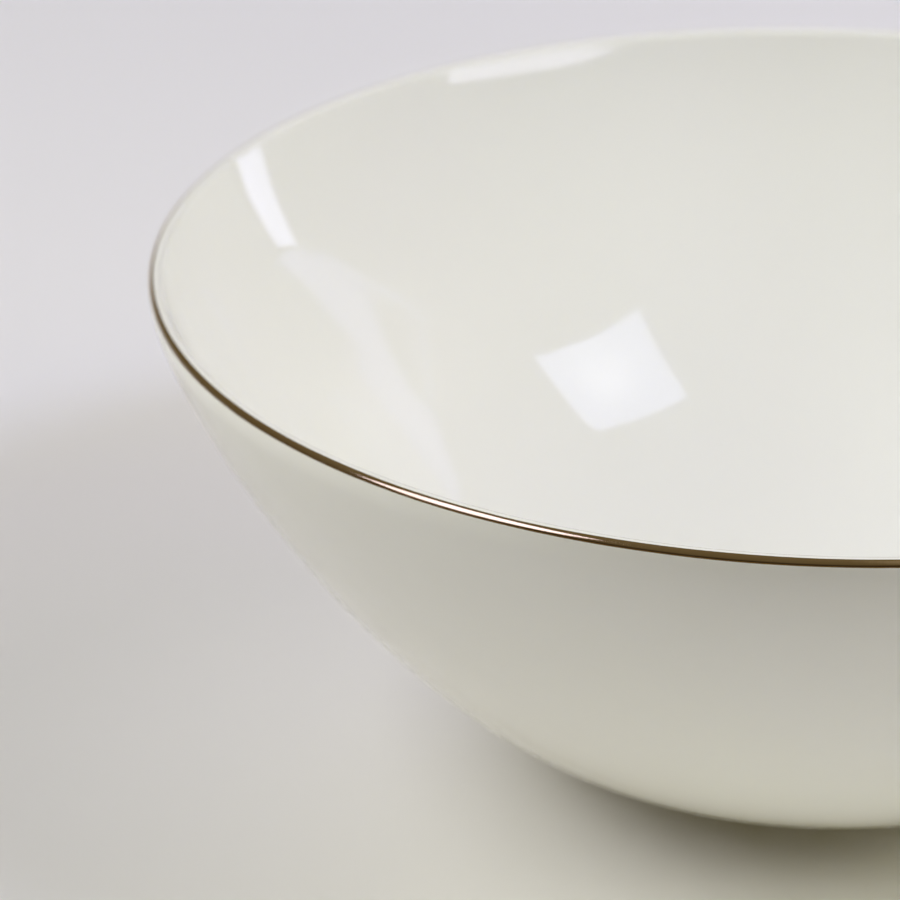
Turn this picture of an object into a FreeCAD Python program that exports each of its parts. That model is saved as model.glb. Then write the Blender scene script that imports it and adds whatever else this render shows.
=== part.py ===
import FreeCAD, Part
import math
import os

# Porcelain serving bowl: a deep flared bowl on a turned foot ring, with a fired gold line on the lip.
# Every piece is turned about +Z. The origin is the centre of the plane the foot stands on. Units: mm.
# All profiles lie in the XZ plane and are written as (radius, height).

# Overall size, over the glaze
RIM_RADIUS = 125.0
HEIGHT = 94.0

# Lip and shoulder: a round lip, with a shoulder outside that rolls to upright and a plain lean inside
LIP_ROUND = 1.3
SHOULDER_OUT = 13.0
SHOULDER_SWEEP = 17.5
INNER_LEAN = 20.0

# Outer wall: one curve from the shoulder down to the foot
OUT_TOP_REACH = 28.0
OUT_BELLY_POLE = (73.3, 2.0)
OUT_FOOT_REACH = 9.4
OUT_FOOT_SLOPE = 5.7
FOOT_JOIN = (44.5, 5.0)

# Inner wall: one curve from the lip down to the flat floor
IN_TOP_REACH = 30.7
IN_BELLY_POLE = (72.7, 8.6)
FLOOR_RADIUS = 42.0
FLOOR_REACH = 13.6
FLOOR_HEIGHT = 8.6

# Foot ring: two slightly drafted faces, rounded into a narrow bearing edge
FOOT_DRAFT = 10.0
FOOT_FILLET = 1.5
FOOT_WIDTH = 4.0
FOOT_EDGE_ROUND = 0.8
WELL_HEIGHT = 4.6
WELL_FILLET = 1.5

# Glaze, bare foot edge and gilding: the gold line runs between two angles round the lip's section
GLAZE = 0.25
GLAZE_STOP = 1.6
GILT = 0.15
GILT_FROM = 5.0
GILT_TO = 68.0
GILT_PANELS = 3

LIP_HEIGHT = HEIGHT - LIP_ROUND
LIP_CENTRE = (RIM_RADIUS - LIP_ROUND, LIP_HEIGHT)


def point(r, z):
    return FreeCAD.Vector(r, 0.0, z)


def polar(centre, radius, angle):
    a = math.radians(angle)
    return (centre[0] + radius * math.cos(a), centre[1] + radius * math.sin(a))


def arc(centre, radius, start, end):
    """Arc about a (radius, height) centre, from one angle to another, through the angle halfway."""
    angles = (start, 0.5 * (start + end), end)
    return Part.Arc(*[point(*polar(centre, radius, a)) for a in angles]).toShape()


def line(a, b):
    return Part.makeLine(point(*a), point(*b))


def bezier(poles, inset):
    """Bezier edge through the offset poles: every leg of the pole polygon moves to its left by inset."""
    legs = []
    for a, b in zip(poles, poles[1:]):
        length = math.hypot(b[0] - a[0], b[1] - a[1])
        legs.append(((a[1] - b[1]) / length, (b[0] - a[0]) / length))
    normals = [legs[0]]
    for m, n in zip(legs, legs[1:]):
        share = 1.0 + m[0] * n[0] + m[1] * n[1]
        normals.append(((m[0] + n[0]) / share, (m[1] + n[1]) / share))
    normals.append(legs[-1])
    curve = Part.BezierCurve()
    curve.setPoles([point(p[0] + inset * n[0], p[1] + inset * n[1]) for p, n in zip(poles, normals)])
    return curve.toShape()


def turned(edges):
    """Revolve a closed run of profile edges once about Z."""
    face = Part.Face(Part.Wire(Part.__sortEdges__(edges)))
    solid = face.revolve(point(0.0, 0.0), FreeCAD.Vector(0.0, 0.0, 1.0), 360.0)
    return solid if solid.ShapeType == "Solid" else Part.Solid(Part.Shell(solid.Faces))


def foot_fillet_centre():
    """Centre of the hollow fillet where the outer wall turns down into the foot."""
    return polar(FOOT_JOIN, FOOT_FILLET, OUT_FOOT_SLOPE - 90.0)


def outer_foot_point(inset, z):
    """Point at height z on the foot's outer face."""
    top = polar(foot_fillet_centre(), FOOT_FILLET + inset, 180.0 - FOOT_DRAFT)
    return (top[0] + (z - top[1]) * math.tan(math.radians(FOOT_DRAFT)), z)


def inner_foot_point(inset, z):
    """Point at height z on the foot's inner face."""
    r, _ = outer_foot_point(inset, 0.0)
    draft = math.radians(FOOT_DRAFT)
    width = FOOT_WIDTH - 2.0 * inset / math.cos(draft)
    return (r - width - z * math.tan(draft), z)


def outside(inset, foot_z):
    """Edges of the outer face, from height foot_z on the foot up to the lip's widest point."""
    shoulder = (RIM_RADIUS - SHOULDER_OUT, LIP_HEIGHT)
    top = polar(shoulder, SHOULDER_OUT, -SHOULDER_SWEEP)
    poles = [
        top,
        polar(top, OUT_TOP_REACH, -90.0 - SHOULDER_SWEEP),
        OUT_BELLY_POLE,
        polar(FOOT_JOIN, OUT_FOOT_REACH, OUT_FOOT_SLOPE),
        FOOT_JOIN,
    ]
    centre = foot_fillet_centre()
    start = outer_foot_point(inset, foot_z)
    return [
        line(start, polar(centre, FOOT_FILLET + inset, 180.0 - FOOT_DRAFT)),
        arc(centre, FOOT_FILLET + inset, 180.0 - FOOT_DRAFT, 90.0 + OUT_FOOT_SLOPE),
        bezier(poles, -inset),
        arc(shoulder, SHOULDER_OUT - inset, -SHOULDER_SWEEP, 0.0),
    ]


def inside(inset):
    """Edges of the inner face, from the end of the round lip down to the centre of the floor."""
    top = polar(LIP_CENTRE, LIP_ROUND, 180.0 - INNER_LEAN)
    poles = [
        top,
        polar(top, IN_TOP_REACH, -90.0 - INNER_LEAN),
        IN_BELLY_POLE,
        (FLOOR_RADIUS + FLOOR_REACH, FLOOR_HEIGHT),
        (FLOOR_RADIUS, FLOOR_HEIGHT),
    ]
    floor = FLOOR_HEIGHT - inset
    return [
        bezier(poles, inset),
        line((FLOOR_RADIUS, floor), (0.0, floor)),
    ]


def lip(inset):
    return [arc(LIP_CENTRE, LIP_ROUND - inset, 0.0, 180.0 - INNER_LEAN)]


def well(inset, foot_z):
    """Edges inside the foot ring, from the centre of the underside out and down to height foot_z."""
    ceiling = WELL_HEIGHT + inset
    draft = math.radians(FOOT_DRAFT)
    side = inner_foot_point(0.0, WELL_HEIGHT - WELL_FILLET)
    centre = (side[0] - WELL_FILLET / math.cos(draft), WELL_HEIGHT - WELL_FILLET)
    foot = polar(centre, WELL_FILLET + inset, FOOT_DRAFT)
    return [
        line((0.0, ceiling), (centre[0], ceiling)),
        arc(centre, WELL_FILLET + inset, 90.0, FOOT_DRAFT),
        line(foot, inner_foot_point(inset, foot_z)),
    ]


def porcelain_body():
    """The fired clay: wall, floor and foot ring, one glaze thickness inside the finished surface."""
    draft = math.radians(FOOT_DRAFT)
    drop = FOOT_EDGE_ROUND * (1.0 - math.sin(draft))
    outer = outer_foot_point(GLAZE, drop)
    inner = inner_foot_point(GLAZE, drop)
    reach = FOOT_EDGE_ROUND * math.cos(draft)
    right = (outer[0] - reach, FOOT_EDGE_ROUND)
    left = (inner[0] + reach, FOOT_EDGE_ROUND)
    foot = [
        arc(left, FOOT_EDGE_ROUND, 180.0 + FOOT_DRAFT, 270.0),
        line((left[0], 0.0), (right[0], 0.0)),
        arc(right, FOOT_EDGE_ROUND, -90.0, -FOOT_DRAFT),
    ]
    axis = [line((0.0, WELL_HEIGHT + GLAZE), (0.0, FLOOR_HEIGHT - GLAZE))]
    return turned(well(GLAZE, drop) + foot + outside(GLAZE, drop) + lip(GLAZE) + inside(GLAZE) + axis)


def glaze_coat():
    """One continuous skin: inside, over the lip and down the outside to just above the bare foot edge."""
    ends = [
        line(outer_foot_point(0.0, GLAZE_STOP), outer_foot_point(GLAZE, GLAZE_STOP)),
        line((0.0, FLOOR_HEIGHT), (0.0, FLOOR_HEIGHT - GLAZE)),
    ]
    finished = outside(0.0, GLAZE_STOP) + lip(0.0) + inside(0.0)
    clay = outside(GLAZE, GLAZE_STOP) + lip(GLAZE) + inside(GLAZE)
    return turned(finished + clay + ends)


def foot_well_glaze():
    """The separate patch of glaze inside the foot ring."""
    ends = [
        line(inner_foot_point(0.0, GLAZE_STOP), inner_foot_point(GLAZE, GLAZE_STOP)),
        line((0.0, WELL_HEIGHT), (0.0, WELL_HEIGHT + GLAZE)),
    ]
    return turned(well(0.0, GLAZE_STOP) + well(GLAZE, GLAZE_STOP) + ends)


def gilt_rim_band():
    """The gold line, on the outer upper quarter of the glazed lip, its thin section split into panels."""
    outer = LIP_ROUND + GILT
    step = (GILT_TO - GILT_FROM) / GILT_PANELS
    starts = [GILT_FROM + i * step for i in range(GILT_PANELS)]
    ends = [line(polar(LIP_CENTRE, LIP_ROUND, a), polar(LIP_CENTRE, outer, a)) for a in (GILT_FROM, GILT_TO)]
    faces = [arc(LIP_CENTRE, r, a, a + step) for r in (LIP_ROUND, outer) for a in starts]
    return turned(faces + ends)


os.makedirs("parts", exist_ok=True)
for build in (porcelain_body, glaze_coat, foot_well_glaze, gilt_rim_band):
    build().exportStep("parts/" + build.__name__ + ".step")
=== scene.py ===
import math

import bpy
from mathutils import Matrix, Vector


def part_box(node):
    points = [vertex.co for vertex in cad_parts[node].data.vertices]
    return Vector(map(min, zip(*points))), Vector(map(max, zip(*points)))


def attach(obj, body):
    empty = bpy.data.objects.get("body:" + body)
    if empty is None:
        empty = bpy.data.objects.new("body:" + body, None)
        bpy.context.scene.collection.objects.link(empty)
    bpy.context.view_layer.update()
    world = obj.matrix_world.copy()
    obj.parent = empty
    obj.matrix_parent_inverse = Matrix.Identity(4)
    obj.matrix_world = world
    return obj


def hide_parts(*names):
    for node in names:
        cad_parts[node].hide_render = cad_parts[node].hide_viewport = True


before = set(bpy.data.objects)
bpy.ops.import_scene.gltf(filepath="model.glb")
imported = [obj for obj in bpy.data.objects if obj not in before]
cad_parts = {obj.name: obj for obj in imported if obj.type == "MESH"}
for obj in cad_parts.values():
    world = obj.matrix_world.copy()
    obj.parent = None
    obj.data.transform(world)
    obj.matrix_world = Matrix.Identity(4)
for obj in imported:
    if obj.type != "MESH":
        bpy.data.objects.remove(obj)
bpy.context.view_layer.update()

MM = 0.001

# ---------------------------------------------------------------- the bowl's profile, as in the CAD model
# Everything is turned about +Z and written as (radius, height) in millimetres. Angles are in degrees.
glaze_low, glaze_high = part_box("glaze_coat")
RIM_RADIUS = round((glaze_high.x - glaze_low.x) / 2 / MM, 1)
HEIGHT = round(glaze_high.z / MM, 1)

# Lip and shoulder: a round lip, with a shoulder outside that rolls to upright and a plain lean inside
LIP_ROUND = 1.3
SHOULDER_OUT = 13.0
SHOULDER_SWEEP = 17.5
INNER_LEAN = 20.0

# Outer wall: one curve from the shoulder down to the foot
OUT_TOP_REACH = 28.0
OUT_BELLY_POLE = (73.3, 2.0)
OUT_FOOT_REACH = 9.4
OUT_FOOT_SLOPE = 5.7
FOOT_JOIN = (44.5, 5.0)

# Inner wall: one curve from the lip down to the flat floor
IN_TOP_REACH = 30.7
IN_BELLY_POLE = (72.7, 8.6)
FLOOR_RADIUS = 42.0
FLOOR_REACH = 13.6
FLOOR_HEIGHT = 8.6

# Foot ring: two slightly drafted faces, rounded into a narrow bearing edge
FOOT_DRAFT = 10.0
FOOT_FILLET = 1.5
FOOT_WIDTH = 4.0
FOOT_EDGE_ROUND = 0.8
WELL_HEIGHT = 4.6
WELL_FILLET = 1.5

# Glaze, bare foot edge and gilding: a gold film between two angles round the lip, bedded into the glaze.
# The film is thinner than the CAD band. Toward both edges it thins out, down to GILT_THIN of its full depth.
# It is full at 1 / GILT_RISE of the line's width from each edge.
GLAZE = 0.25
GLAZE_STOP = 1.6
GILT = 0.04
GILT_BED = 0.02
GILT_THIN = 0.1
GILT_RISE = 6.0
GILT_FROM = 5.0
GILT_TO = 68.0

LIP_HEIGHT = HEIGHT - LIP_ROUND
LIP_CENTRE = (RIM_RADIUS - LIP_ROUND, LIP_HEIGHT)
SHOULDER = (RIM_RADIUS - SHOULDER_OUT, LIP_HEIGHT)

# Fineness of the meshes
SEGMENTS = 384
WALL_STEPS = 110
FLAT_STEPS = 24
LIP_STEPS = 30
SHOULDER_STEPS = 12
FILLET_STEPS = 10
EDGE_STEPS = 8
SIDE_STEPS = 4
GILT_STEPS = 18
ON_AXIS = 1e-6
SAME_POINT = 1e-4


def polar(centre, radius, angle):
    a = math.radians(angle)
    return (centre[0] + radius * math.cos(a), centre[1] + radius * math.sin(a))


def arc(centre, radius, start, end, steps):
    return [polar(centre, radius, start + (end - start) * i / steps) for i in range(steps + 1)]


def line(a, b, steps):
    return [(a[0] + (b[0] - a[0]) * i / steps, a[1] + (b[1] - a[1]) * i / steps) for i in range(steps + 1)]


def bezier(poles, inset, steps):
    """Bezier through poles, each point moved to its left by inset."""
    def value(p, t):
        while len(p) > 1:
            p = [((1 - t) * a[0] + t * b[0], (1 - t) * a[1] + t * b[1]) for a, b in zip(p, p[1:])]
        return p[0]

    legs = [(b[0] - a[0], b[1] - a[1]) for a, b in zip(poles, poles[1:])]
    points = []
    for i in range(steps + 1):
        t = i / steps
        x, z = value(poles, t)
        dx, dz = value(legs, t)
        length = math.hypot(dx, dz)
        points.append((x - inset * dz / length, z + inset * dx / length))
    return points


def foot_outer(inset, z):
    centre = polar(FOOT_JOIN, FOOT_FILLET, OUT_FOOT_SLOPE - 90.0)
    top = polar(centre, FOOT_FILLET + inset, 180.0 - FOOT_DRAFT)
    return (top[0] + (z - top[1]) * math.tan(math.radians(FOOT_DRAFT)), z)


def foot_inner(inset, z):
    r, _ = foot_outer(inset, 0.0)
    draft = math.radians(FOOT_DRAFT)
    return (r - FOOT_WIDTH + 2.0 * inset / math.cos(draft) - z * math.tan(draft), z)


def outside(inset, foot_z):
    """Foot's outer face at foot_z, up the wall to the lip's widest point."""
    top = polar(SHOULDER, SHOULDER_OUT, -SHOULDER_SWEEP)
    poles = [
        top,
        polar(top, OUT_TOP_REACH, -90.0 - SHOULDER_SWEEP),
        OUT_BELLY_POLE,
        polar(FOOT_JOIN, OUT_FOOT_REACH, OUT_FOOT_SLOPE),
        FOOT_JOIN,
    ]
    centre = polar(FOOT_JOIN, FOOT_FILLET, OUT_FOOT_SLOPE - 90.0)
    fillet = arc(centre, FOOT_FILLET + inset, 180.0 - FOOT_DRAFT, 90.0 + OUT_FOOT_SLOPE, FILLET_STEPS)
    return joined(
        line(foot_outer(inset, foot_z), fillet[0], SIDE_STEPS),
        fillet,
        bezier(poles, -inset, WALL_STEPS)[::-1],
        arc(SHOULDER, SHOULDER_OUT - inset, -SHOULDER_SWEEP, 0.0, SHOULDER_STEPS),
    )


def inside(inset):
    """End of the round lip down to the centre of the floor."""
    top = polar(LIP_CENTRE, LIP_ROUND, 180.0 - INNER_LEAN)
    poles = [
        top,
        polar(top, IN_TOP_REACH, -90.0 - INNER_LEAN),
        IN_BELLY_POLE,
        (FLOOR_RADIUS + FLOOR_REACH, FLOOR_HEIGHT),
        (FLOOR_RADIUS, FLOOR_HEIGHT),
    ]
    floor = FLOOR_HEIGHT - inset
    return joined(
        bezier(poles, inset, WALL_STEPS),
        line((FLOOR_RADIUS, floor), (0.0, floor), FLAT_STEPS),
    )


def lip(inset):
    return arc(LIP_CENTRE, LIP_ROUND - inset, 0.0, 180.0 - INNER_LEAN, LIP_STEPS)


def well(inset, foot_z):
    """Centre of the underside, out and down to foot_z on the foot's inner face."""
    draft = math.radians(FOOT_DRAFT)
    side = foot_inner(0.0, WELL_HEIGHT - WELL_FILLET)
    centre = (side[0] - WELL_FILLET / math.cos(draft), WELL_HEIGHT - WELL_FILLET)
    fillet = arc(centre, WELL_FILLET + inset, 90.0, FOOT_DRAFT, FILLET_STEPS)
    return joined(
        line((0.0, WELL_HEIGHT + inset), fillet[0], FLAT_STEPS),
        fillet,
        line(fillet[-1], foot_inner(inset, foot_z), SIDE_STEPS),
    )


def joined(*runs):
    """One run of points, without the doubles where two runs meet."""
    points = []
    for run in runs:
        for p in run:
            if not points or math.dist(p, points[-1]) > SAME_POINT:
                points.append(p)
    return points


def new_object(name, data):
    obj = bpy.data.objects.new(name, data)
    bpy.context.scene.collection.objects.link(obj)
    return obj


def lathe(name, profile, closed=False, waver=None):
    """Turn a profile about Z. A profile whose ends are off the axis is closed by joining them, if asked.

    A waver(k, angle) gives the k-th point of the profile afresh at each angle.
    """
    verts, rings = [], []
    for k, (r, z) in enumerate(profile):
        if r < ON_AXIS:
            rings.append([len(verts)] * SEGMENTS)
            verts.append((0.0, 0.0, z * MM))
            continue
        rings.append(list(range(len(verts), len(verts) + SEGMENTS)))
        for i in range(SEGMENTS):
            a = 2.0 * math.pi * i / SEGMENTS
            rr, zz = waver(k, a) if waver else (r, z)
            verts.append((rr * MM * math.cos(a), rr * MM * math.sin(a), zz * MM))
    pairs = list(zip(rings, rings[1:]))
    if closed:
        pairs.append((rings[-1], rings[0]))
    faces = []
    for low, high in pairs:
        for i in range(SEGMENTS):
            j = (i + 1) % SEGMENTS
            ring = [low[i], low[j], high[j], high[i]]
            face = [v for n, v in enumerate(ring) if v not in ring[:n]]
            if len(face) > 2:
                faces.append(face)
    mesh = bpy.data.meshes.new(name)
    mesh.from_pydata(verts, [], faces)
    mesh.validate()
    mesh.shade_smooth()
    return new_object(name, mesh)


# ---------------------------------------------------------------- materials
# Painted glow: a faint emission on the glaze's outer wall that grows toward the foot and brightens the lower
# belly; no lamp gives it
PAINTED_GLOW_STRENGTH = 0.025
PAINTED_GLOW_COLOUR = (1.0, 0.8, 0.1, 1.0)
# Sockets of a colour Mix node
MIX_A, MIX_B, MIX_RESULT = 6, 7, 2


def nodes_of(name):
    mat = bpy.data.materials.new(name)
    mat.use_nodes = True
    tree = mat.node_tree
    return mat, tree, tree.nodes["Principled BSDF"]


def add(tree, kind, **values):
    """A new node. Each value goes to the property of that name, or else to the input socket."""
    node = tree.nodes.new(kind)
    for key, value in values.items():
        if hasattr(node, key):
            setattr(node, key, value)
        else:
            node.inputs[key].default_value = value
    return node


def noise(tree, scale, detail, roughness=0.5):
    coord = add(tree, "ShaderNodeTexCoord")
    tex = add(tree, "ShaderNodeTexNoise", Scale=scale, Detail=detail, Roughness=roughness)
    tree.links.new(coord.outputs["Object"], tex.inputs["Vector"])
    return tex


def ramp(tree, source, stops):
    node = add(tree, "ShaderNodeValToRGB")
    elements = node.color_ramp.elements
    while len(elements) < len(stops):
        elements.new(0.5)
    for element, (place, colour) in zip(elements, stops):
        element.position = place
        element.color = (*colour, 1.0)
    tree.links.new(source, node.inputs["Fac"])
    return node


def math_node(tree, operation, a, b):
    """A maths node whose inputs are sockets or plain numbers; gives its output socket."""
    node = add(tree, "ShaderNodeMath", operation=operation)
    for socket, value in zip(node.inputs, (a, b)):
        if isinstance(value, (int, float)):
            socket.default_value = value
        else:
            tree.links.new(value, socket)
    return node.outputs[0]


def grey(v):
    return (v, v, v)


def mottle(tree, scale, detail, stops, roughness=0.5):
    """A colour that wanders between the stops with noise of this scale; gives its output socket."""
    return ramp(tree, noise(tree, scale, detail, roughness).outputs["Fac"], stops).outputs["Color"]


def relief(tree, bsdf, scale, detail, strength, distance):
    """Fine bumps on the surface, distance metres deep."""
    bump = add(tree, "ShaderNodeBump", Strength=strength, Distance=distance)
    tree.links.new(noise(tree, scale, detail).outputs["Fac"], bump.inputs["Height"])
    tree.links.new(bump.outputs["Normal"], bsdf.inputs["Normal"])


def glaze_material():
    mat, tree, bsdf = nodes_of("warm_white_glaze")
    tones = [(0.3, (0.875, 0.868, 0.832)), (0.7, (0.885, 0.88, 0.848))]
    tree.links.new(mottle(tree, 14.0, 3.0, tones), bsdf.inputs["Base Color"])
    sheen = [(0.35, grey(0.02)), (0.75, grey(0.05))]
    tree.links.new(mottle(tree, 60.0, 3.0, sheen), bsdf.inputs["Roughness"])
    bsdf.inputs["IOR"].default_value = 1.5
    relief(tree, bsdf, 220.0, 1.0, strength=0.05, distance=0.0002)
    # Painted glow: emission from the marked share on the outer wall, brightest at the foot
    bsdf.inputs["Emission Color"].default_value = PAINTED_GLOW_COLOUR
    mark = add(tree, "ShaderNodeAttribute", attribute_name="painted_glow_share")
    amount = math_node(tree, "MULTIPLY", mark.outputs["Fac"], PAINTED_GLOW_STRENGTH)
    tree.links.new(amount, bsdf.inputs["Emission Strength"])
    return mat


def gold_material():
    mat, tree, bsdf = nodes_of("polished_gilding")
    tones = [(0.3, (0.90, 0.69, 0.40)), (0.7, (0.95, 0.76, 0.47))]
    tint = mottle(tree, 90.0, 3.0, tones)
    mark = add(tree, "ShaderNodeAttribute", attribute_name="across_line")
    # Painted shade: the gold's colour darkens toward the line's lower edge, standing for the dark room it
    # mirrors there
    painted_shade_stops = [
        (0.0, (0.15, 0.11, 0.06)),
        (0.22, (0.24, 0.19, 0.12)),
        (0.36, (0.78, 0.76, 0.72)),
        (0.95, grey(1.0)),
    ]
    edge = ramp(tree, mark.outputs["Fac"], painted_shade_stops)
    shaded = add(tree, "ShaderNodeMix", data_type="RGBA", blend_type="MULTIPLY")
    shaded.inputs["Factor"].default_value = 1.0
    tree.links.new(tint, shaded.inputs[MIX_A])
    tree.links.new(edge.outputs["Color"], shaded.inputs[MIX_B])
    tree.links.new(shaded.outputs[MIX_RESULT], bsdf.inputs["Base Color"])
    bsdf.inputs["Metallic"].default_value = 1.0
    polish = [(0.3, grey(0.07)), (0.75, grey(0.12))]
    tree.links.new(mottle(tree, 240.0, 4.0, polish), bsdf.inputs["Roughness"])
    relief(tree, bsdf, 900.0, 2.0, strength=0.08, distance=0.0001)
    return mat


def clay_material():
    mat, tree, bsdf = nodes_of("bare_fired_porcelain")
    tones = [(0.35, (0.66, 0.63, 0.57)), (0.6, (0.78, 0.75, 0.70))]
    tree.links.new(mottle(tree, 500.0, 6.0, tones, roughness=0.7), bsdf.inputs["Base Color"])
    bsdf.inputs["Roughness"].default_value = 0.7
    relief(tree, bsdf, 3000.0, 4.0, strength=0.4, distance=0.0001)
    return mat


BACKDROP = (0.72, 0.71, 0.72, 1.0)
# The camera sees the table fade into the backdrop between these distances from the bowl, in metres.
FADE_FROM = 0.75
FADE_TO = 1.15
# In front of this y the room is dark: reflections and bounced light meet a dark floor, the camera doesn't.
TABLE_FRONT = -0.42
DARK_FLOOR = (0.08, 0.075, 0.07, 1.0)


def table_material():
    mat, tree, bsdf = nodes_of("pale_table")
    tones = [(0.3, (0.80, 0.79, 0.80)), (0.7, (0.82, 0.81, 0.82))]
    tint = mottle(tree, 3.0, 2.0, tones)
    bsdf.inputs["Roughness"].default_value = 0.6
    bsdf.inputs["Specular IOR Level"].default_value = 0.2
    coord = add(tree, "ShaderNodeTexCoord")
    camera_ray = add(tree, "ShaderNodeLightPath").outputs["Is Camera Ray"]

    place_of = add(tree, "ShaderNodeSeparateXYZ")
    tree.links.new(coord.outputs["Object"], place_of.inputs[0])
    in_front = math_node(tree, "LESS_THAN", place_of.outputs["Y"], TABLE_FRONT)
    unseen = math_node(tree, "SUBTRACT", 1.0, camera_ray)
    floor = add(tree, "ShaderNodeMix", data_type="RGBA")
    tree.links.new(math_node(tree, "MULTIPLY", in_front, unseen), floor.inputs["Factor"])
    tree.links.new(tint, floor.inputs[MIX_A])
    floor.inputs[MIX_B].default_value = DARK_FLOOR
    tree.links.new(floor.outputs[MIX_RESULT], bsdf.inputs["Base Color"])

    reach = add(tree, "ShaderNodeVectorMath", operation="LENGTH")
    tree.links.new(coord.outputs["Object"], reach.inputs[0])
    fade = add(tree, "ShaderNodeMapRange", interpolation_type="SMOOTHSTEP")
    fade.inputs["From Min"].default_value = FADE_FROM
    fade.inputs["From Max"].default_value = FADE_TO
    tree.links.new(reach.outputs["Value"], fade.inputs["Value"])
    far = add(tree, "ShaderNodeEmission", Color=BACKDROP)
    blend = add(tree, "ShaderNodeMixShader")
    tree.links.new(math_node(tree, "MULTIPLY", fade.outputs["Result"], camera_ray), blend.inputs[0])
    tree.links.new(bsdf.outputs[0], blend.inputs[1])
    tree.links.new(far.outputs[0], blend.inputs[2])
    tree.links.new(blend.outputs[0], tree.nodes["Material Output"].inputs["Surface"])
    return mat


# ---------------------------------------------------------------- the pieces
def build_body():
    """The clay: a glaze's thickness inside the finished surface, except at the foot's bare edge."""
    drop = FOOT_EDGE_ROUND * (1.0 - math.sin(math.radians(FOOT_DRAFT)))
    reach = FOOT_EDGE_ROUND * math.cos(math.radians(FOOT_DRAFT))
    right = (foot_outer(GLAZE, drop)[0] - reach, FOOT_EDGE_ROUND)
    left = (foot_inner(GLAZE, drop)[0] + reach, FOOT_EDGE_ROUND)
    edge = joined(
        arc(left, FOOT_EDGE_ROUND, 180.0 + FOOT_DRAFT, 270.0, EDGE_STEPS),
        arc(right, FOOT_EDGE_ROUND, -90.0, -FOOT_DRAFT, EDGE_STEPS),
    )
    profile = joined(well(GLAZE, drop), edge, outside(GLAZE, drop), lip(GLAZE), inside(GLAZE))
    return lathe("porcelain_body_clay", profile)


def build_glaze():
    """The main coat: a skin between clay and finished surface, marked with the share of painted glow on its
    outer wall.
    """
    wall = outside(0.0, GLAZE_STOP)
    finished = joined(wall, lip(0.0), inside(0.0))
    clay = joined(outside(GLAZE, GLAZE_STOP), lip(GLAZE), inside(GLAZE))
    skin = lathe("glaze_skin", clay[::-1] + finished)
    mark = skin.data.attributes.new("painted_glow_share", "FLOAT", "POINT")
    # Painted glow share: 1 at the foot, falling to 0 at the lip, on the outer wall only
    glow = [1.0 - z / LIP_HEIGHT for r, z in wall]
    painted_glow_amounts = [0.0] * len(clay) + glow + [0.0] * (len(finished) - len(wall))
    values = []
    for (r, z), amount in zip(clay[::-1] + finished, painted_glow_amounts):
        values += [amount] * (1 if r < ON_AXIS else SEGMENTS)
    mark.data.foreach_set("value", values)
    return skin


def build_well_glaze():
    return lathe("foot_well_glaze_skin", well(0.0, GLAZE_STOP) + well(GLAZE, GLAZE_STOP)[::-1])


def hand_waver(a, phase):
    """How far a hand-lined edge strays from its angle on the lip, in degrees, at angle a round the rim."""
    slow = 1.2 * math.sin(5 * a + phase)
    middling = 0.8 * math.sin(13 * a + 2.3 * phase)
    quick = 0.5 * math.sin(31 * a + 4.1 * phase)
    return slow + middling + quick


def build_gilding():
    """The gold line: its film feathers out at both edges, and its underside is bedded into the glaze."""
    outer = [("out", i / GILT_STEPS) for i in range(GILT_STEPS + 1)]
    inner = [("in", i / GILT_STEPS) for i in range(GILT_STEPS, -1, -1)]
    spots = outer + inner

    def waver(k, a):
        side, t = spots[k]
        low = GILT_FROM + hand_waver(a, 0.7)
        high = GILT_TO + hand_waver(a, 2.9)
        feather = min(1.0, GILT_RISE * t, GILT_RISE * (1.0 - t)) * (1.0 - GILT_THIN) + GILT_THIN
        film = GILT * feather if side == "out" else -GILT_BED
        return polar(LIP_CENTRE, LIP_ROUND + film, low + (high - low) * t)

    band = lathe("gilt_line", [LIP_CENTRE] * len(spots), closed=True, waver=waver)
    mark = band.data.attributes.new("across_line", "FLOAT", "POINT")
    mark.data.foreach_set("value", [t for side, t in spots for _ in range(SEGMENTS)])
    return band


PIECES = [
    (build_body(), "porcelain_body", "porcelain", clay_material()),
    (build_glaze(), "glaze_coat", "glaze", glaze_material()),
    (build_well_glaze(), "foot_well_glaze", "glaze", bpy.data.materials["warm_white_glaze"]),
    (build_gilding(), "gilt_rim_band", "gold", gold_material()),
]
for piece, node, slot, material in PIECES:
    piece.data.materials.append(material)
    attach(piece, "root")
    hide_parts(node)

# ---------------------------------------------------------------- table
TABLE_SIZE = 8.0
TABLE_DROP = 0.0002


def rectangle(width, height):
    x, y = width / 2, height / 2
    return [(-x, -y), (x, -y), (x, y), (-x, y)]


def flat_mesh(name, outline):
    mesh = bpy.data.meshes.new(name)
    mesh.from_pydata([(x, y, 0.0) for x, y in outline], [], [tuple(range(len(outline)))])
    return mesh


def build_table():
    mesh = flat_mesh("table", rectangle(TABLE_SIZE, TABLE_SIZE))
    mesh.materials.append(table_material())
    obj = new_object("table", mesh)
    obj.location.z = -TABLE_DROP
    return obj


table = build_table()


# ---------------------------------------------------------------- light
def place(obj, centre, normal, upright):
    """Put obj's local x across, y up and z along normal."""
    ahead = Vector(normal).normalized()
    up = Vector(upright)
    up = (up - up.dot(ahead) * ahead).normalized()
    across = up.cross(ahead)
    turn = Matrix((across, up, ahead)).transposed().to_4x4()
    obj.matrix_world = Matrix.Translation(Vector(centre)) @ turn


def window(name, centre, normal, upright, width, height, radiance):
    """A lamp that lights surfaces but has no mirror image of its own."""
    light = bpy.data.lights.new(name, "AREA")
    light.shape = "RECTANGLE"
    light.size = width
    light.size_y = height
    peak = max(radiance)
    light.energy = peak * math.pi * width * height
    light.color = [v / peak for v in radiance]
    obj = new_object(name, light)
    place(obj, centre, [-v for v in normal], upright)
    obj.visible_camera = False
    obj.visible_glossy = False
    return obj


# How far below the middle of a card its glow is strongest, in half heights
GLOW_DROP = 0.3


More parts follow.
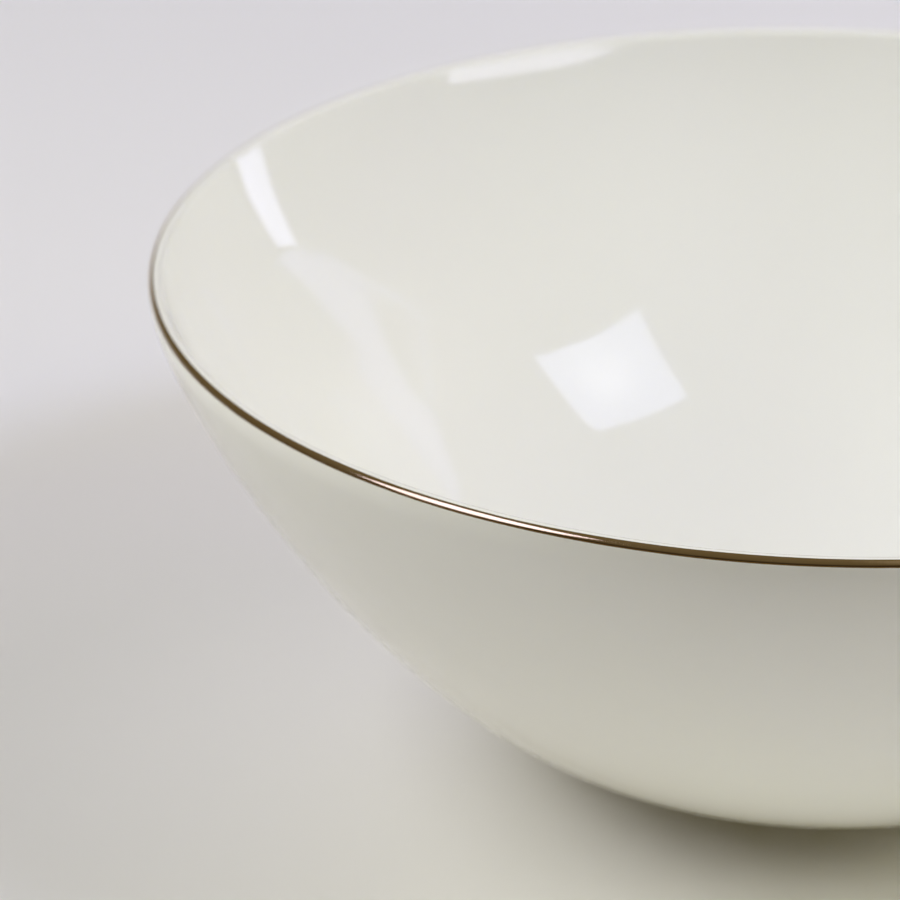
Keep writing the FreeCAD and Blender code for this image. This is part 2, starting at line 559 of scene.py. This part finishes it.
def glow_material(name, width, height, centre_glow, edge_glow):
    """Emission that runs from centre_glow to edge_glow (red, green, blue radiance) across a card."""
    mat = bpy.data.materials.new(name)
    mat.use_nodes = True
    tree = mat.node_tree
    tree.nodes.remove(tree.nodes["Principled BSDF"])
    coord = add(tree, "ShaderNodeTexCoord")
    scale = add(tree, "ShaderNodeMapping")
    scale.inputs["Scale"].default_value = (2.0 / width, 2.0 / height, 0.0)
    scale.inputs["Location"].default_value = (0.0, GLOW_DROP, 0.0)
    tree.links.new(coord.outputs["Object"], scale.inputs["Vector"])
    reach = add(tree, "ShaderNodeVectorMath", operation="LENGTH")
    tree.links.new(scale.outputs["Vector"], reach.inputs[0])
    peak = max(centre_glow + edge_glow)
    stops = [(0.1, [v / peak for v in centre_glow]), (0.9, [v / peak for v in edge_glow])]
    blend = ramp(tree, reach.outputs["Value"], stops)
    emission = add(tree, "ShaderNodeEmission", Strength=peak)
    tree.links.new(blend.outputs["Color"], emission.inputs["Color"])
    tree.links.new(emission.outputs[0], tree.nodes["Material Output"].inputs["Surface"])
    return mat


def card(name, outline, centre, normal, upright, centre_glow, edge_glow=None):
    """A glowing sheet that only shows as a reflection. The outline is (across, up) from its centre."""
    across, up = zip(*outline)
    width = max(across) - min(across)
    height = max(up) - min(up)
    mesh = flat_mesh(name, outline)
    glow = glow_material(name + "_glow", width, height, centre_glow, edge_glow or centre_glow)
    mesh.materials.append(glow)
    obj = new_object(name, mesh)
    place(obj, centre, normal, upright)
    obj.visible_camera = False
    obj.visible_diffuse = False
    obj.visible_transmission = False
    obj.visible_shadow = False
    return obj


# Places are (centre, normal, upright) in metres; radiances and glows are (red, green, blue).
UPRIGHT = (0.0, 0.0, 1.0)
RIGHT_WINDOW = ((0.714, -0.261, 0.982), (-0.567, 0.823, -0.037), (-0.107, -0.029, 0.994))
RIGHT_WINDOW_SIZE = (0.513, 0.306)
LEFT_WINDOW = ((-1.2, -0.08, 1.60), (1.0, 0.0, 0.0), UPRIGHT)
LEFT_WINDOW_SIZE = (1.25, 1.87)

# name, centre, normal, upright, width, height, radiance
LAMPS = [
    ("right_window", *RIGHT_WINDOW, *RIGHT_WINDOW_SIZE, (7.9, 8.8, 14.5)),
    ("left_window", *LEFT_WINDOW, *LEFT_WINDOW_SIZE, (5.5, 5.5, 5.05)),
    ("right_wall", (1.8, -0.3, 1.2), (-0.84, 0.1, -0.53), UPRIGHT, 1.4, 1.4, (3.3, 3.25, 2.25)),
    ("right_back", (0.7, 0.5, 0.9), (-0.6, -0.4, -0.7), UPRIGHT, 0.5, 0.5, (2.6, 2.3, 2.55)),
    ("back_wall", (0.0, 1.8, 0.9), (0.0, -0.9, -0.4), UPRIGHT, 1.6, 1.0, (0.01, 0.01, 0.9)),
    ("under_front", (0.05, -0.1, 0.0005), (0.0, 0.0, 1.0), (0.0, 1.0, 0.0), 0.2, 0.05, (0.19, 0.2, 0.16)),
]
for lamp in LAMPS:
    window(*lamp)

WINDOW_MIDDLE = (4.4, 4.6, 5.9)
WINDOW_EDGE = (2.8, 3.0, 4.4)
card("right_window_card", rectangle(*RIGHT_WINDOW_SIZE), *RIGHT_WINDOW, WINDOW_MIDDLE, WINDOW_EDGE)
LEFT_CARD = [
    (-1.1, -0.6), (-0.65, -1.1), (-0.35, -1.2), (-0.04, -0.9),
    (0.0, -0.2), (-0.1, 0.1), (-0.5, 0.2), (-1.1, 0.2),
]
card("left_window_card", LEFT_CARD, *LEFT_WINDOW, (1.9, 1.9, 3.0))


def stand(azimuth, distance):
    """Centre, normal and upright of a sheet that stands on the table and faces the bowl."""
    a = math.radians(azimuth)
    x, y = math.sin(a), math.cos(a)
    return (distance * x, distance * y, 0.0), (-x, -y, 0.0), UPRIGHT


# A strip light and a draped diffuser stand together, back and to the right.
STRIP = [
    (-0.19, 0.08), (-0.03, 0.11), (-0.04, 0.18), (-0.062, 0.245),
    (-0.081, 0.33), (-0.188, 0.266), (-0.205, 0.18),
]
DRAPE = [
    (-0.225, 0.262), (-0.133, 0.347), (-0.1, 0.405), (-0.063, 0.45), (-0.216, 0.406), (-0.424, 0.349),
    (-0.5, 0.5), (-0.3, 0.65), (-0.1, 0.68), (0.072, 0.655), (0.038, 0.603), (0.06, 0.545),
    (0.146, 0.518), (0.105, 0.465), (0.02, 0.4), (-0.109, 0.317),
]
DRAPE_HEM = [
    (0.146, 0.53), (0.235, 0.607), (0.298, 0.678), (0.235, 0.668), (0.098, 0.65),
    (0.098, 0.665), (0.235, 0.683), (0.33, 0.7), (0.25, 0.6), (0.16, 0.52),
]
BACK_RIGHT = stand(64.0, 1.2)
card("strip_light", STRIP, *BACK_RIGHT, (3.0, 3.05, 4.1))
card("draped_diffuser", DRAPE, *BACK_RIGHT, (1.25, 1.25, 1.85))
card("drape_hem", DRAPE_HEM, *BACK_RIGHT, (1.5, 1.5, 2.1))

# A low panel stands front right.
PANEL = [(-0.37, 0.05), (0.237, 0.05), (0.237, 0.505), (0.065, 0.507), (-0.187, 0.462), (-0.378, 0.416)]
card("low_panel", PANEL, *stand(128.0, 1.0), (4.4, 4.3, 5.3))


# ---------------------------------------------------------------- surroundings
DIM_ROOM = (0.05, 0.04, 0.002, 1.0)
# Direction in which the mirrored room is brightest, and its colours away from it and toward it
ROOM_BRIGHT_SIDE = (0.962, -0.084, 0.259)
MIRRORED_ROOM = [(0.3, (0.13, 0.108, 0.072)), (0.65, (0.53, 0.522, 0.505))]


def build_world():
    """Camera rays meet a pale backdrop, mirror rays a room bright on one side, all others a dim room."""
    world = bpy.data.worlds.new("studio")
    bpy.context.scene.world = world
    world.use_nodes = True
    tree = world.node_tree
    dim = tree.nodes["Background"]
    dim.inputs["Color"].default_value = DIM_ROOM
    backdrop = add(tree, "ShaderNodeBackground", Color=BACKDROP)
    coord = add(tree, "ShaderNodeTexCoord")
    towards = add(tree, "ShaderNodeVectorMath", operation="DOT_PRODUCT")
    towards.inputs[1].default_value = ROOM_BRIGHT_SIDE
    tree.links.new(coord.outputs["Generated"], towards.inputs[0])
    room = ramp(tree, towards.outputs["Value"], MIRRORED_ROOM)
    mirrored = add(tree, "ShaderNodeBackground")
    tree.links.new(room.outputs["Color"], mirrored.inputs["Color"])
    path = add(tree, "ShaderNodeLightPath")
    glossy = add(tree, "ShaderNodeMixShader")
    tree.links.new(path.outputs["Is Glossy Ray"], glossy.inputs[0])
    tree.links.new(dim.outputs[0], glossy.inputs[1])
    tree.links.new(mirrored.outputs[0], glossy.inputs[2])
    final = add(tree, "ShaderNodeMixShader")
    tree.links.new(path.outputs["Is Camera Ray"], final.inputs[0])
    tree.links.new(glossy.outputs[0], final.inputs[1])
    tree.links.new(backdrop.outputs[0], final.inputs[2])
    tree.links.new(final.outputs[0], tree.nodes["World Output"].inputs["Surface"])


build_world()

# ---------------------------------------------------------------- camera
# The camera is placed from the centre of the gold line's circle, in units of that circle's radius.
LINE_ANGLE = math.radians((GILT_FROM + GILT_TO) / 2)
LINE_RADIUS = (RIM_RADIUS - LIP_ROUND + LIP_ROUND * math.cos(LINE_ANGLE)) * MM
LINE_HEIGHT = (LIP_HEIGHT + LIP_ROUND * math.sin(LINE_ANGLE)) * MM
CAMERA_LEFT = 0.5597
CAMERA_BACK = 6.7961
CAMERA_UP = 2.8535
CAMERA_PITCH = 24.91
FOCAL_LENGTH = 200.0
camera_data = bpy.data.cameras.new("camera")
camera_data.sensor_width = 36.0
camera_data.lens = FOCAL_LENGTH
camera_data.clip_end = 50.0
camera = new_object("camera", camera_data)
camera.location = (
    -CAMERA_LEFT * LINE_RADIUS,
    -CAMERA_BACK * LINE_RADIUS,
    CAMERA_UP * LINE_RADIUS + LINE_HEIGHT,
)
camera.rotation_euler = (math.radians(90.0 - CAMERA_PITCH), 0.0, 0.0)
bpy.context.scene.camera = camera

# The lens is focused on the near rim. From further off the driver stops it down, so that all is sharp.
# NEAR_RIM_SHARE is the near rim's distance as a share of the way from the camera to the bowl's centre.
camera_data.dof.use_dof = True
NEAR_RIM_SHARE = 0.838
WIDE_STOP = 23.0
SMALL_STOP = 128.0
FAR_OFF = 1.2


def drive(owner, path, expression):
    driver = owner.driver_add(path).driver
    driver.type = "SCRIPTED"
    reach = driver.variables.new()
    reach.name = "reach"
    reach.type = "LOC_DIFF"
    reach.targets[0].id = camera
    reach.targets[1].id = table
    driver.expression = expression


drive(camera_data.dof, "focus_distance", f"reach * {NEAR_RIM_SHARE}")
drive(camera_data.dof, "aperture_fstop", f"{WIDE_STOP} if reach < {FAR_OFF} else {SMALL_STOP}")

bpy.context.scene.view_settings.view_transform = "Standard"
